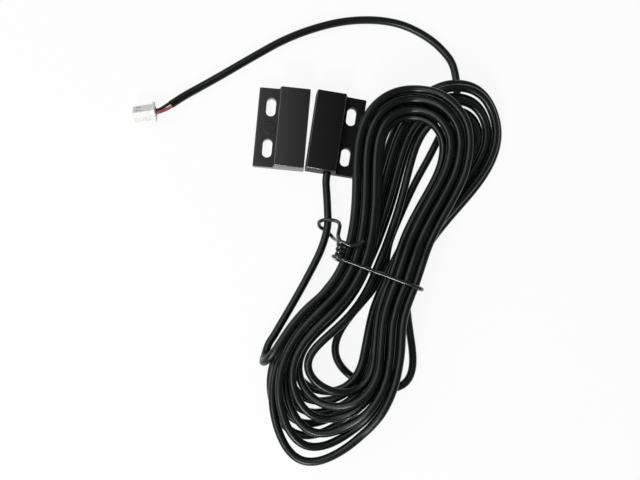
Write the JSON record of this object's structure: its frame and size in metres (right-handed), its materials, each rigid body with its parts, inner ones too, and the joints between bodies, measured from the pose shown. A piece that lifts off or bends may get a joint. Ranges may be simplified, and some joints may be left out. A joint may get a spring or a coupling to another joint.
{
  "type": "door contact sensor",
  "caption": "Surface-mount wired door contact: a black slotted reed-switch housing and its matching magnet housing, with a long thin cable tied in a hank and ending in a small white plug.",
  "frame": {"origin": "on the switch half's back face, midway between its two screw slots", "axes": "+Z out of the wall; +Y along the housings, away from the cable's exit; +X from the magnet half towards the switch half's flange"},
  "size_m": [0.1666, 0.2021, 0.0222],
  "materials": {
    "black_abs": "fine satin moulding",
    "potting_epoxy": "cast, glossy",
    "ferrite": "ground",
    "reed_glass": "clear",
    "reed_alloy": "plated",
    "shrink_sleeve": "satin",
    "red_insulation": "satin",
    "black_insulation": "satin",
    "cable_jacket": "satin PVC",
    "tie_coat": "gloss PVC coat",
    "plug_nylon": "natural white",
    "tinned_contact": "tinned"
  },
  "bodies": {
    "switch": {"switch_housing": "black_abs", "switch_potting": "potting_epoxy", "reed_glass": "reed_glass", "reed_lead_fixed": "reed_alloy", "reed_lead_moving": "reed_alloy", "splice_sleeve_red": "shrink_sleeve", "splice_sleeve_black": "shrink_sleeve", "inner_core_red": "red_insulation", "inner_core_black": "black_insulation", "cable_lead": "cable_jacket", "cable_hank": "cable_jacket", "cable_tail": "cable_jacket", "wire_tie": "tie_coat", "plug_core_red": "red_insulation", "plug_core_black": "black_insulation", "plug_housing": "plug_nylon", "plug_contact_red": "tinned_contact", "plug_contact_black": "tinned_contact"},
    "magnet": {"magnet_housing": "black_abs", "magnet_potting": "potting_epoxy", "bar_magnet": "ferrite"},
    "reed": {"reed_blade": "reed_alloy"}
  },
  "joints": [
    {"name": "magnet_lift", "type": "slide", "parent": "switch", "child": "magnet", "axis": [0, 0, 1], "range_m": [0, 0.05]},
    {"name": "reed_flex", "type": "hinge", "parent": "switch", "child": "reed", "pos_m": [-0.0136, 0.0096, 0.00458], "axis": [-1, 0, 0], "range_deg": [0, 2.1]}
  ],
  "couplings": [
    {"joint": "reed_flex", "follows": "magnet_lift", "rad_per_m": 0.73}
  ]
}
